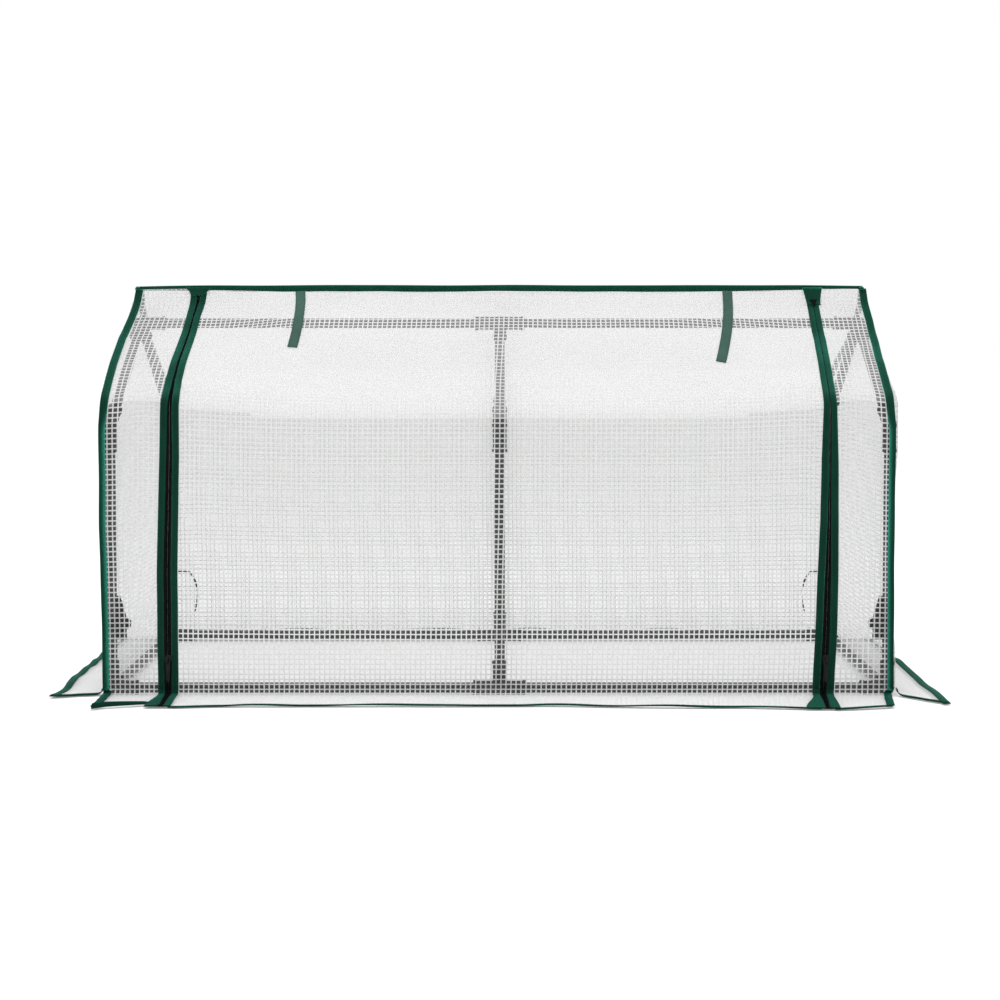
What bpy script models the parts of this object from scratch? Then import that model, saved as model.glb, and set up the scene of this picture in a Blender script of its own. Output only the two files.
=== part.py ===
"""Mini pop up greenhouse: a house-shaped tube frame under a zipped mesh cover.

Metres, +Z up, front towards -Y, origin on the ground under the middle of the frame.
"""

import bmesh
import bpy
from math import pi, radians
from mathutils import Matrix, Vector

# ---------------------------------------------------------------- driving dimensions
FRAME_LENGTH = 1.200          # between end post centres, along X
FRAME_DEPTH = 0.450           # between front and rear post centres, along Y
RAIL_Z = 0.0100               # centre of the bottom rails
EAVE_Z = 0.4170               # centre of the bend between post and rafter
RIDGE_BAR_Z = 0.5765          # centre of the ridge bar

TUBE_R = 0.0080               # 16 mm steel tube
TUBE_WALL = 0.0010
SOCKET_R = 0.0108             # outside of a connector's socket
SOCKET_LENGTH = 0.0410        # from the connector's centre to its mouth
RIM_R = 0.0118                # thickened mouth of a socket
RIM_LENGTH = 0.0050
BORE_R = 0.0086               # inside of a socket
TUBE_STOP = 0.0150            # from the connector's centre to the tube's end
HUB_R = 0.0117                # ball in the middle of a connector
FIT_GAP = 0.0003              # between touching pieces

SHEET = 0.0015                # thickness of the cover
COVER_FOLD_Z = 0.4400         # where the roof of the cover turns into its wall
COVER_RIDGE_Z = 0.6265        # where the two roof slopes of the cover meet
FOLD_CLEAR = 0.0016           # from the fold to the edge of a panel that ends at it
COVER_HALF_Y = FRAME_DEPTH / 2 + RIM_R + FIT_GAP + SHEET / 2
END_INNER_X = FRAME_LENGTH / 2 + RIM_R + FIT_GAP
WALL_BOTTOM_Z = 0.0025
RIDGE_BINDING_TOP = 0.6380
RIDGE_BINDING_HALF = 0.0013
RIDGE_BINDING_HALF_X = 0.606

ZIP_X = {"left": -0.5100, "right": 0.5015}      # centre of each zip
ZIP_HALF = 0.0062
HEM = 0.0780                  # width of the ground flaps
FLAP_HINGE_Z = 0.0020
FLAP_GAP = 0.0012             # from a wall's outer face to its ground flap

STRAP_X = {"left": -0.3280, "right": 0.3650}
STRAP_LENGTH = {"left": 0.1570, "right": 0.1910}
STRAP_START = 0.0090          # from the ridge to the strap's upper end
STRAP_WIDTH = 0.0170
STRAP_THICK = 0.0012
RIDGE_PIVOT_Y = -0.0040       # hinge line of the door, in front of the ridge binding
STRAP_PIVOT_LIFT = 0.0022     # hinge line of the tie straps, above the door's

SLIDER_Z = 0.0560             # slider at the closed end of its run
SLIDER_THICK = 0.0034
PULL_LENGTH = 0.0320
TIE_Z = 0.1100                # height of the ties round the front posts
TIE_THICK = 0.0012
TIE_HEIGHT = 0.0200

ROUND_SIDES = 16
SOCKET_SIDES = 12

ASSEMBLY = "mini_pop_up_greenhouse"
ENDS = (("left", -1), ("centre", 0), ("right", 1))
SIDES = (("left", -1), ("right", 1))
FACES = (("front", -1), ("rear", 1))
X_AXIS, Y_AXIS, Z_AXIS = Vector((1, 0, 0)), Vector((0, 1, 0)), Vector((0, 0, 1))


# ---------------------------------------------------------------- scene and materials
def clear_scene():
    for item in list(bpy.data.objects):
        bpy.data.objects.remove(item, do_unlink=True)


def new_collection(name):
    group = bpy.data.collections.new(name)
    bpy.context.scene.collection.children.link(group)
    return group


FINISHES = {                  # colour, roughness, metallic
    "tube": ((0.012, 0.016, 0.014), 0.38, 0.25),
    "connector": ((0.014, 0.015, 0.015), 0.55, 0.0),
    "mesh": ((0.80, 0.81, 0.80), 0.45, 0.0),
    "binding": ((0.004, 0.085, 0.045), 0.70, 0.0),
    "zip": ((0.010, 0.011, 0.011), 0.60, 0.0),
    "hardware": ((0.016, 0.016, 0.017), 0.35, 0.8),
}


def finish(node, kind):
    """Give one node its own Principled material."""
    colour, roughness, metallic = FINISHES[kind]
    material = bpy.data.materials.new(node.name + "_" + kind)
    material.use_nodes = True
    shader = material.node_tree.nodes["Principled BSDF"]
    shader.inputs["Base Color"].default_value = (*colour, 1.0)
    shader.inputs["Roughness"].default_value = roughness
    shader.inputs["Metallic"].default_value = metallic
    node.data.materials.clear()
    node.data.materials.append(material)


def place_in(node, group):
    for old in list(node.users_collection):
        old.objects.unlink(node)
    group.objects.link(node)


def mesh_node(name, mesh, group, kind, matrix=None):
    """A node made from a finished mesh."""
    node = bpy.data.objects.new(name, mesh)
    group.objects.link(node)
    if matrix is not None:
        node.matrix_world = matrix
    finish(node, kind)
    return node


def smooth(mesh, angle=35):
    mesh.shade_smooth()
    mesh.set_sharp_from_angle(angle=radians(angle))


# ---------------------------------------------------------------- modelling helpers
def along(direction, centre=(0, 0, 0)):
    """Matrix that turns local +Z to a direction and moves to a centre."""
    turn = Vector(direction).to_track_quat("Z", "Y").to_matrix().to_4x4()
    return Matrix.Translation(centre) @ turn


def cylinder(name, radius, length, matrix, sides=SOCKET_SIDES):
    """Closed cylinder from the matrix's origin out along its +Z."""
    shape = bmesh.new()
    bmesh.ops.create_cone(shape, cap_ends=True, segments=sides, radius1=radius,
                          radius2=radius, depth=length)
    bmesh.ops.translate(shape, verts=shape.verts, vec=(0, 0, length / 2))
    return bm_object(name, shape, matrix)


def turned(name, profile, matrix, sides=SOCKET_SIDES):
    """Solid of revolution round local Z, from (radius, height) points listed top to bottom."""
    shape = bmesh.new()
    chain = [shape.verts.new((radius, 0.0, height)) for radius, height in profile]
    for pair in zip(chain, chain[1:]):
        shape.edges.new(pair)
    item = bm_object(name, shape, matrix)
    screw = item.modifiers.new("turn", "SCREW")
    screw.axis = "Z"
    screw.steps = sides
    screw.render_steps = sides
    screw.use_merge_vertices = True
    screw.merge_threshold = 0.00001
    return item


def ball(name, radius, matrix):
    shape = bmesh.new()
    bmesh.ops.create_uvsphere(shape, u_segments=SOCKET_SIDES, v_segments=6, radius=radius)
    return bm_object(name, shape, matrix)


def box(name, low, high):
    """Closed box between two corners."""
    shape = bmesh.new()
    bmesh.ops.create_cube(shape, size=1.0)
    size = Vector(high) - Vector(low)
    bmesh.ops.scale(shape, verts=shape.verts, vec=size)
    bmesh.ops.translate(shape, verts=shape.verts, vec=(Vector(high) + Vector(low)) / 2)
    return bm_object(name, shape, Matrix.Identity(4))


def bm_object(name, shape, matrix):
    mesh = bpy.data.meshes.new(name)
    shape.to_mesh(mesh)
    shape.free()
    item = bpy.data.objects.new(name, mesh)
    bpy.context.scene.collection.objects.link(item)
    item.matrix_world = matrix
    return item


def outline(name, points, half_thickness, matrix, holes=()):
    """Flat closed outline given in local X, Y, filled and extruded both ways along Z."""
    curve = bpy.data.curves.new(name, "CURVE")
    curve.dimensions = "2D"
    curve.fill_mode = "BOTH"
    curve.extrude = half_thickness
    for ring in (points, *holes):
        spline = curve.splines.new("POLY")
        spline.points.add(len(ring) - 1)
        for point, (across, up) in zip(spline.points, ring):
            point.co = (across, up, 0.0, 1.0)
        spline.use_cyclic_u = True
    item = bpy.data.objects.new(name, curve)
    bpy.context.scene.collection.objects.link(item)
    item.matrix_world = matrix
    return item


def as_mesh(item, name):
    """Turn a curve object into a mesh object with welded caps."""
    bpy.context.view_layer.update()
    evaluated = item.evaluated_get(bpy.context.evaluated_depsgraph_get())
    mesh = bpy.data.meshes.new_from_object(evaluated)
    shape = bmesh.new()
    shape.from_mesh(mesh)
    bmesh.ops.remove_doubles(shape, verts=shape.verts, dist=0.00001)
    bmesh.ops.recalc_face_normals(shape, faces=shape.faces)
    shape.to_mesh(mesh)
    shape.free()
    mesh.name = name
    matrix = item.matrix_world.copy()
    bpy.data.objects.remove(item, do_unlink=True)
    solid = bpy.data.objects.new(name, mesh)
    bpy.context.scene.collection.objects.link(solid)
    solid.matrix_world = matrix
    return solid


def combine(base, others, operation, name):
    """Boolean a list of objects into a base, and return the finished mesh in world space."""
    for other in others:
        step = base.modifiers.new(operation.lower() + "_" + other.name, "BOOLEAN")
        step.operation = operation
        step.solver = "EXACT"
        step.object = other
    bpy.context.view_layer.update()
    evaluated = base.evaluated_get(bpy.context.evaluated_depsgraph_get())
    mesh = bpy.data.meshes.new_from_object(evaluated)
    mesh.transform(base.matrix_world)
    mesh.name = name
    for item in (base, *others):
        bpy.data.objects.remove(item, do_unlink=True)
    return mesh


def solid_from(mesh, name):
    """Object that carries a world-space mesh into the next Boolean."""
    item = bpy.data.objects.new(name, mesh)
    bpy.context.scene.collection.objects.link(item)
    return item


# ---------------------------------------------------------------- frame
def connector_mesh(name, directions, foot=False):
    """Moulded push-fit connector: a ball with one blind socket for each direction."""
    body = ball(name + "_hub", HUB_R, Matrix.Identity(4))
    outside = []
    bores = []
    rim_base = SOCKET_LENGTH - RIM_LENGTH
    past_centre = -0.002
    profile = ((0.0, SOCKET_LENGTH), (RIM_R, SOCKET_LENGTH), (RIM_R, rim_base), (SOCKET_R, rim_base),
               (SOCKET_R, past_centre), (0.0, past_centre))
    for number, direction in enumerate(directions):
        reach = Vector(direction).normalized()
        outside.append(turned(f"{name}_socket_{number}", profile, along(reach)))
        bore_base = reach * (TUBE_STOP - FIT_GAP)
        bores.append(cylinder(f"{name}_bore_{number}", BORE_R, SOCKET_LENGTH, along(reach, bore_base)))
    body = solid_from(combine(body, outside, "UNION", name + "_blank"), name + "_blank")
    if foot:
        wide = SOCKET_LENGTH * 1.5
        deep = HUB_R * 3
        bores.append(box(name + "_foot", (-wide, -wide, -RAIL_Z - deep), (wide, wide, -RAIL_Z)))
    mesh = combine(body, bores, "DIFFERENCE", name)
    smooth(mesh)
    return mesh


def tube(name, start, end, group):
    """Hollow tube between two connector centres, ending at the stop in each socket."""
    start, end = Vector(start), Vector(end)
    reach = (end - start).normalized()
    length = (end - start).length - 2 * TUBE_STOP
    bpy.ops.mesh.primitive_cylinder_add(vertices=ROUND_SIDES, radius=TUBE_R, depth=length,
                                        end_fill_type="NOTHING")
    node = bpy.context.object
    node.name = name
    node.data.name = name
    node.matrix_world = along(reach, (start + end) / 2)
    wall = node.modifiers.new("wall", "SOLIDIFY")
    wall.thickness = TUBE_WALL
    wall.offset = -1.0
    smooth(node.data)
    place_in(node, group)
    finish(node, "tube")
    return node


def rail_point(x_side, y_side):
    return Vector((x_side * FRAME_LENGTH / 2, y_side * FRAME_DEPTH / 2, RAIL_Z))


def eave_point(x_side, y_side):
    return Vector((x_side * FRAME_LENGTH / 2, y_side * FRAME_DEPTH / 2, EAVE_Z))


def ridge_point(x_side):
    return Vector((x_side * FRAME_LENGTH / 2, 0.0, RIDGE_BAR_Z))


def build_tubes(group):
    for face, y_side in FACES:
        for side, x_side in SIDES:
            tube(f"rail_{face}_{side}", rail_point(0, y_side), rail_point(x_side, y_side), group)
        for place, x_side in ENDS:
            foot, eave = rail_point(x_side, y_side), eave_point(x_side, y_side)
            tube(f"post_{face}_{place}", foot, eave, group)
            tube(f"rafter_{face}_{place}", eave, ridge_point(x_side), group)
    for side, x_side in SIDES:
        tube(f"rail_end_{side}", rail_point(x_side, -1), rail_point(x_side, 1), group)
        tube(f"ridge_bar_{side}", ridge_point(0), ridge_point(x_side), group)


def build_connectors(group):
    """Each kind is modelled once and turned to its places."""
    down_front = eave_point(0, -1) - ridge_point(0)
    down_rear = eave_point(0, 1) - ridge_point(0)
    corner = connector_mesh("corner", (X_AXIS, Y_AXIS, Z_AXIS), foot=True)
    tee = connector_mesh("tee", (X_AXIS, -X_AXIS, Z_AXIS), foot=True)
    elbow = connector_mesh("elbow", (-Z_AXIS, -down_front))
    ridge_end = connector_mesh("ridge_end", (X_AXIS, down_front, down_rear))
    ridge_cross = connector_mesh("ridge_cross", (X_AXIS, -X_AXIS, down_front, down_rear))
    corner_turn = {(-1, -1): 0.0, (1, -1): pi / 2, (1, 1): pi, (-1, 1): -pi / 2}
    for face, y_side in FACES:
        half_turn = 0.0 if y_side < 0 else pi
        for side, x_side in SIDES:
            spot = Matrix.Translation(rail_point(x_side, y_side))
            turn = Matrix.Rotation(corner_turn[(x_side, y_side)], 4, "Z")
            mesh_node(f"corner_{face}_{side}", corner.copy(), group, "connector", spot @ turn)
        turn = Matrix.Rotation(half_turn, 4, "Z")
        spot = Matrix.Translation(rail_point(0, y_side))
        mesh_node(f"bottom_tee_{face}", tee.copy(), group, "connector", spot @ turn)
        for place, x_side in ENDS:
            spot = Matrix.Translation(eave_point(x_side, y_side))
            mesh_node(f"eave_elbow_{face}_{place}", elbow.copy(), group, "connector", spot @ turn)
    for side, x_side in SIDES:
        turn = Matrix.Rotation(0.0 if x_side < 0 else pi, 4, "Z")
        spot = Matrix.Translation(ridge_point(x_side))
        mesh_node(f"ridge_tee_{side}", ridge_end.copy(), group, "connector", spot @ turn)
    spot = Matrix.Translation(ridge_point(0))
    mesh_node("ridge_cross", ridge_cross.copy(), group, "connector", spot)


# ---------------------------------------------------------------- cover
def sheet_node(name, profile, x_low, x_high, group, kind, thickness=SHEET):
    """Sheet that follows a profile of (y, z) points and runs straight along X."""
    shape = bmesh.new()
    chain = [shape.verts.new((x_low, y, z)) for y, z in profile]
    edges = [shape.edges.new(pair) for pair in zip(chain, chain[1:])]
    swept = bmesh.ops.extrude_edge_only(shape, edges=edges)
    new_verts = [part for part in swept["geom"] if isinstance(part, bmesh.types.BMVert)]
    bmesh.ops.translate(shape, verts=new_verts, vec=(x_high - x_low, 0, 0))
    bmesh.ops.recalc_face_normals(shape, faces=shape.faces)
    node = bm_object(name, shape, Matrix.Identity(4))
    thick = node.modifiers.new("thickness", "SOLIDIFY")
    thick.thickness = thickness
    thick.offset = 0.0
    thick.use_even_offset = True
    place_in(node, group)
    finish(node, kind)
    return node


def put_origin(node, origin):
    """Move a node's origin onto its joint's axis without moving its shape."""
    shift = Vector(origin) - node.matrix_world.translation
    node.data.transform(Matrix.Translation(-shift))
    node.matrix_world = Matrix.Translation(shift) @ node.matrix_world


def roof_z(y):
    """Height of the cover's roof surface at a distance from the ridge."""
    fall = (COVER_RIDGE_Z - COVER_FOLD_Z) / COVER_HALF_Y
    return COVER_RIDGE_Z - abs(y) * fall


def roof_point(y_side, distance):
    """Point (y, z) on the roof slope, a distance down from the ridge."""
    slope = Vector((y_side * COVER_HALF_Y, COVER_FOLD_Z - COVER_RIDGE_Z)).normalized()
    return slope.x * distance, COVER_RIDGE_Z + slope.y * distance


def roof_edge(y_side):
    """Lower edge (y, z) of a roof panel that ends just above the fold."""
    reach = COVER_HALF_Y - FOLD_CLEAR
    return y_side * reach, roof_z(reach)


def wall_profile(y_side):
    """Profile of a wall panel that starts just below the fold."""
    y = y_side * COVER_HALF_Y
    return [(y, COVER_FOLD_Z - FOLD_CLEAR), (y, WALL_BOTTOM_Z)]


def build_fixed_cover(group):
    fold_front = (-COVER_HALF_Y, COVER_FOLD_Z)
    top_gap = RIDGE_BINDING_HALF + 2 * FIT_GAP
    front = [(-top_gap, roof_z(top_gap)), fold_front, (-COVER_HALF_Y, WALL_BOTTOM_Z)]
    for side, x_side in SIDES:
        zip_x = ZIP_X[side]
        inner = zip_x + x_side * (ZIP_HALF + FIT_GAP)
        low, high = sorted((inner, x_side * (END_INNER_X - FIT_GAP)))
        sheet_node(f"front_strip_{side}", front, low, high, group, "mesh")
        sheet_node(f"zip_{side}", front, zip_x - ZIP_HALF, zip_x + ZIP_HALF, group, "zip")
    reach = END_INNER_X - FIT_GAP
    rear_roof = [(top_gap, roof_z(top_gap)), roof_edge(1)]
    sheet_node("rear_roof", rear_roof, -reach, reach, group, "mesh")
    sheet_node("rear_wall", wall_profile(1), -reach, reach, group, "mesh")
    build_end_panels(group)
    binding = [(0.0, COVER_RIDGE_Z + FIT_GAP), (0.0, RIDGE_BINDING_TOP)]
    sheet_node("ridge_binding", binding, -RIDGE_BINDING_HALF_X, RIDGE_BINDING_HALF_X, group,
               "binding", 2 * RIDGE_BINDING_HALF)


def build_end_panels(group):
    """The two gable panels, which close the cover's ends just outside the frame."""
    half = COVER_HALF_Y + SHEET / 2
    fold = COVER_FOLD_Z + SHEET / 2
    gable = [(-half, WALL_BOTTOM_Z), (half, WALL_BOTTOM_Z), (half, fold),
             (0.0, COVER_RIDGE_Z), (-half, fold)]
    for side, x_side in SIDES:
        centre = (x_side * (END_INNER_X + SHEET / 2), 0, 0)
        turn = Matrix(((0, 0, 1, 0), (1, 0, 0, 0), (0, 1, 0, 0), (0, 0, 0, 1)))
        name = f"end_panel_{side}"
        panel = as_mesh(outline(name, gable, SHEET / 2, Matrix.Translation(centre) @ turn), name)
        place_in(panel, group)
        finish(panel, "mesh")


def build_door(group):
    """Front door between the zips: roof part, wall part and ground flap, each on its hinge."""
    low = ZIP_X["left"] + ZIP_HALF + FIT_GAP
    high = ZIP_X["right"] - ZIP_HALF - FIT_GAP
    top_y = RIDGE_PIVOT_Y - FOLD_CLEAR
    upper = [(top_y, roof_z(top_y)), roof_edge(-1)]
    door_upper = sheet_node("door_upper", upper, low, high, group, "mesh")
    put_origin(door_upper, (0, RIDGE_PIVOT_Y, roof_z(RIDGE_PIVOT_Y)))
    door_lower = sheet_node("door_lower", wall_profile(-1), low, high, group, "mesh")
    put_origin(door_lower, (0, -COVER_HALF_Y, COVER_FOLD_Z))
    front_flap("door_flap", low, high, -1, group)


def flap_hinge_y():
    return COVER_HALF_Y + SHEET / 2 + FLAP_GAP


def front_flap(name, x_low, x_high, y_side, group):
    """Ground flap in front of or behind the wall, flat on the ground."""
    near = y_side * flap_hinge_y()
    far = y_side * (flap_hinge_y() + HEM)
    flap = sheet_node(name, [(near, SHEET / 2), (far, SHEET / 2)], x_low, x_high, group, "mesh")
    put_origin(flap, (0, near, FLAP_HINGE_Z))


def build_ground_flaps(group):
    """Flaps all round that lie out on the ground. The front ones carry the zips' last stretch."""
    outer = END_INNER_X - FIT_GAP
    for side, x_side in SIDES:
        low, high = sorted((ZIP_X[side] - x_side * ZIP_HALF, x_side * outer))
        front_flap(f"front_flap_{side}", low, high, -1, group)
    front_flap("rear_flap", -outer, outer, 1, group)
    for side, x_side in SIDES:
        near = END_INNER_X + SHEET + FLAP_GAP
        low, high = sorted((x_side * near, x_side * (near + HEM)))
        reach = COVER_HALF_Y
        flap = sheet_node(f"end_flap_{side}", [(-reach, SHEET / 2), (reach, SHEET / 2)], low, high,
                          group, "mesh")
        put_origin(flap, (x_side * near, 0, FLAP_HINGE_Z))


def build_tie_straps(group):
    """Green tapes that hold the rolled door, lying on the roof from the ridge seam."""
    lift = SHEET / 2 + STRAP_THICK / 2 + FIT_GAP
    slope = Vector((-COVER_HALF_Y, COVER_FOLD_Z - COVER_RIDGE_Z)).normalized()
    normal = Vector((slope.y, -slope.x))
    for side, _ in SIDES:
        reaches = (STRAP_START, STRAP_LENGTH[side])
        start, end = (Vector(roof_point(-1, reach)) + normal * lift for reach in reaches)
        middle = STRAP_X[side]
        half = STRAP_WIDTH / 2
        strap = sheet_node(f"tie_strap_{side}", [tuple(start), tuple(end)], middle - half,
                           middle + half, group, "binding", STRAP_THICK)
        pivot_z = roof_z(RIDGE_PIVOT_Y) + STRAP_PIVOT_LIFT
        put_origin(strap, (middle, RIDGE_PIVOT_Y, pivot_z))


# ---------------------------------------------------------------- zip sliders
SLIDER_OUTLINE = ((-0.0036, -0.0075), (0.0036, -0.0075), (0.0046, -0.0020), (0.0050, 0.0035),
                  (0.0032, 0.0075), (-0.0032, 0.0075), (-0.0050, 0.0035), (-0.0046, -0.0020))
BRIDGE_R = 0.0008
BRIDGE_ROUTE = ((0.0, 0.0050, 0.0000), (0.0, 0.0050, 0.0022), (0.0, 0.0034, 0.0040),
                (0.0, -0.0022, 0.0040), (0.0, -0.0038, 0.0022), (0.0, -0.0038, 0.0000))
PULL_AXIS_UP = -0.0010        # pull's hinge, from the slider's middle
PULL_AXIS_OUT = 0.0016        # and out from the slider's face
PULL_THICK = 0.0011
PULL_TAB = ((-0.0034, 0.0006), (-0.0034, -0.0120), (-0.0026, 0.0020 - PULL_LENGTH), (-0.0014, -PULL_LENGTH),
            (0.0014, -PULL_LENGTH), (0.0026, 0.0020 - PULL_LENGTH), (0.0034, -0.0120), (0.0034, 0.0006))
PULL_EYE = ((-0.0020, -0.0062), (0.0020, -0.0062), (0.0020, -0.0006), (-0.0020, -0.0006))
BRIDGE_SUNK = 0.0006          # how far the wire's feet reach into the slider


def wall_frame(x, out, z):
    """Local X, Y, Z to world X, up and out of the front wall."""
    turn = Matrix(((1, 0, 0, 0), (0, 0, -1, 0), (0, 1, 0, 0), (0, 0, 0, 1)))
    front = -(COVER_HALF_Y + SHEET / 2 + FIT_GAP)
    return Matrix.Translation((x, front - out, z)) @ turn


def bridge(name, matrix):
    """Bent wire that the pull hangs on."""
    curve = bpy.data.curves.new(name, "CURVE")
    curve.dimensions = "3D"
    curve.bevel_depth = BRIDGE_R
    curve.bevel_resolution = 2
    curve.use_fill_caps = True
    spline = curve.splines.new("POLY")
    spline.points.add(len(BRIDGE_ROUTE) - 1)
    for point, place in zip(spline.points, BRIDGE_ROUTE):
        point.co = (*place, 1.0)
    item = bpy.data.objects.new(name, curve)
    bpy.context.scene.collection.objects.link(item)
    item.matrix_world = matrix
    return as_mesh(item, name)


def build_sliders(group):
    for side, x in ZIP_X.items():
        middle = SLIDER_THICK / 2
        name = f"zip_slider_{side}"
        body = as_mesh(outline(name + "_body", SLIDER_OUTLINE, middle, wall_frame(x, middle, SLIDER_Z)),
                       name + "_body")
        wire = bridge(name + "_bridge", wall_frame(x, SLIDER_THICK - BRIDGE_SUNK, SLIDER_Z))
        mesh = combine(body, [wire], "UNION", name)
        slider = mesh_node(name, mesh, group, "hardware")
        put_origin(slider, (x, -COVER_HALF_Y, SLIDER_Z))
        build_pull(side, x, group)


def build_pull(side, x, group):
    """Flat tab with a square eye round the slider's bridge, hanging down."""
    name = f"zip_pull_{side}"
    out = SLIDER_THICK + PULL_AXIS_OUT
    pivot = wall_frame(x, out, SLIDER_Z + PULL_AXIS_UP)
    solid = as_mesh(outline(name, PULL_TAB, PULL_THICK / 2, pivot, holes=(PULL_EYE,)), name)
    place_in(solid, group)
    finish(solid, "hardware")


# ---------------------------------------------------------------- ties round the posts
TIE_TAIL = ((0.0088, 0.0440), (0.0150, 0.0440), (0.0225, 0.0160), (0.0235, 0.0085),
            (0.0310, 0.0060), (0.0310, -0.0040), (0.0240, -0.0080), (0.0250, -0.0240),
            (0.0088, -0.0240))
TIE_TAIL_HALF = 0.0010


def build_ties(group):
    """Tapes inside the cover that hold it to the front corner posts."""
    inner = TUBE_R + 2 * FIT_GAP
    upright = Matrix(((1, 0, 0, 0), (0, 0, -1, 0), (0, 1, 0, 0), (0, 0, 0, 1)))
    for side, x_side in SIDES:
        name = f"post_tie_{side}"
        centre = Vector((x_side * FRAME_LENGTH / 2, -FRAME_DEPTH / 2, TIE_Z))
        base = Matrix.Translation(centre - Z_AXIS * TIE_HEIGHT / 2)
        below = Matrix.Translation(centre - Z_AXIS * TIE_HEIGHT)
        ring = cylinder(name + "_ring", inner + TIE_THICK, TIE_HEIGHT, base, ROUND_SIDES)
        hole = cylinder(name + "_hole", inner, TIE_HEIGHT * 2, below, ROUND_SIDES)
        loop = solid_from(combine(ring, [hole], "DIFFERENCE", name + "_loop"), name + "_loop")
        points = [(-x_side * across, up) for across, up in TIE_TAIL]
        place = Matrix.Translation(centre) @ upright
        tape = as_mesh(outline(name + "_tail", points, TIE_TAIL_HALF, place), name + "_tail")
        mesh_node(name, combine(loop, [tape], "UNION", name), group, "zip")


def main():
    clear_scene()
    group = new_collection(ASSEMBLY)
    build_tubes(group)
    build_connectors(group)
    build_fixed_cover(group)
    build_door(group)
    build_ground_flaps(group)
    build_tie_straps(group)
    build_sliders(group)
    build_ties(group)


main()
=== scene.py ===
"""Looks of a small tube-framed greenhouse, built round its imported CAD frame.

Metres, +Z up, front towards -Y. The cover is made thread by thread: every cell of its grid is a
window of clear film between raised threads. Front and rear cloths are surfaces over x and a row,
and the zips, straps and bindings lie on those same surfaces.
"""

from math import pi, radians

import bmesh
import bpy
import numpy as np
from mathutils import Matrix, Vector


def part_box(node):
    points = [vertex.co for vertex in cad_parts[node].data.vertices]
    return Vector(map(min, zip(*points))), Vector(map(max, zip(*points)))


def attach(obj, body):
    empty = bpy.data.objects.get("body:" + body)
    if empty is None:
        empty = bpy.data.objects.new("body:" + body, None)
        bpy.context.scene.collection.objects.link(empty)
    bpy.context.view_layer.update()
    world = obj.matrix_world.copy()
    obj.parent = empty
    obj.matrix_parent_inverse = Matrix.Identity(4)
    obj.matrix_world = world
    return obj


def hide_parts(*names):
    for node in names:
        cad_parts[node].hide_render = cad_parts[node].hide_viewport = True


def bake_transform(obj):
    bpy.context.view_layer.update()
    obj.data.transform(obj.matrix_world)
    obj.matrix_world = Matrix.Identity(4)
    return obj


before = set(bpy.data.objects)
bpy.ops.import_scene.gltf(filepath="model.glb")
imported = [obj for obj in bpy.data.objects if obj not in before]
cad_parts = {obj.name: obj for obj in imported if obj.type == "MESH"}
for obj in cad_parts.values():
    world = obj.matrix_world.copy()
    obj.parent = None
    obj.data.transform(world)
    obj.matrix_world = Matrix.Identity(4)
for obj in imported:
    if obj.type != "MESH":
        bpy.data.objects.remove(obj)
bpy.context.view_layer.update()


# ---- sizes, from the frame
def middle(node):
    low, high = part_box(node)
    return (low + high) / 2


END_X = middle("post_front_right").x          # end posts
DEPTH_Y = middle("post_rear_right").y         # front and rear posts, from the middle
WALL_Y = middle("rear_wall").y                # middle of the cloth of the walls
PANEL_X = middle("end_panel_right").x         # middle of the cloth of the ends
CLOTH_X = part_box("rear_wall")[1].x            # where front and rear cloths stop
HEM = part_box("rear_flap")[1].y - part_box("rear_flap")[0].y      # how far a ground flap reaches out
HEM_LENGTH = HEM + 0.009                      # cloth of a ground flap, with the bend at its foot
ZIP_X = {side: abs(middle(f"zip_{side}").x) for side in ("left", "right")}
RIDGE_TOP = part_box("ridge_binding")[1].z + 0.0022     # top of the ridge tape, as it stands
POST_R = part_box("post_front_right")[1].x - END_X

PITCH = 0.0078              # of the reinforcing grid
THREAD = 0.00098            # half the width of a thread
RELIEF = 0.00035            # how far threads stand out of the film
JOIN_Z = 0.0100             # where wall pieces pass on to ground flaps
BINDING = 0.0120            # visible width of a binding
BINDING_THICK = 0.0016
STITCH_IN = 0.0026          # from a binding's edge to its row of stitches
CLOTH_LENGTH = 0.735        # of front and rear cloth, from the ridge down to the ground
RIPPLE_LENGTH = 0.74        # metres that stand for row 0 to row 1 in the ripples
DOOR_TOP, ZIP_DOOR_TOP = 0.003, 0.012         # rows where the door and its zip halves start

X, Y, Z = np.eye(3)
SIDES = (("left", -1), ("right", 1))

# Section of front and rear cloth, as distance from the ridge plane and height: in the middle it
# bellies out between ridge and fold, at the gables it follows the frame more closely.
ROOF_STEPS = (0.0016, 0.016, 0.075, 0.112, 0.160, 0.205, 0.232, 0.2388)
ROOF_MIDDLE = (0.6290, 0.6190, 0.5825, 0.5510, 0.4995, 0.4605, 0.4410, 0.4300)
ROOF_GABLE = (0.6345, 0.6075, 0.5590, 0.5365, 0.5105, 0.4790, 0.4590, 0.4500)
FLAP_Z = 0.0022             # ground flaps, above the floor

# The seams with the ends lie further in than the corners, more where the cloth is tight: by how much,
# at these rows down the cloth.
SEAM_ROWS = {"left": (0, 0.05, 0.09, 0.13, 0.17, 0.25, 0.33, 0.40, 0.45, 0.66, 0.86, 1.0, 2.0),
             "right": (0, 0.10, 0.19, 0.26, 0.33, 0.40, 0.45, 0.60, 1.0, 2.0)}
SEAM_IN = {"left": (0.0085, 0.0065, 0.0045, 0.0020, 0.0005, 0.0012, 0.0022, 0.0046, 0.0026, 0.0023, 0.0046,
                    0.0048, 0.0078),
           "right": (0.0035, 0.0025, 0.0052, 0.0100, 0.0118, 0.0132, 0.0105, 0.0112, 0.0097, 0.0272)}

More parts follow.
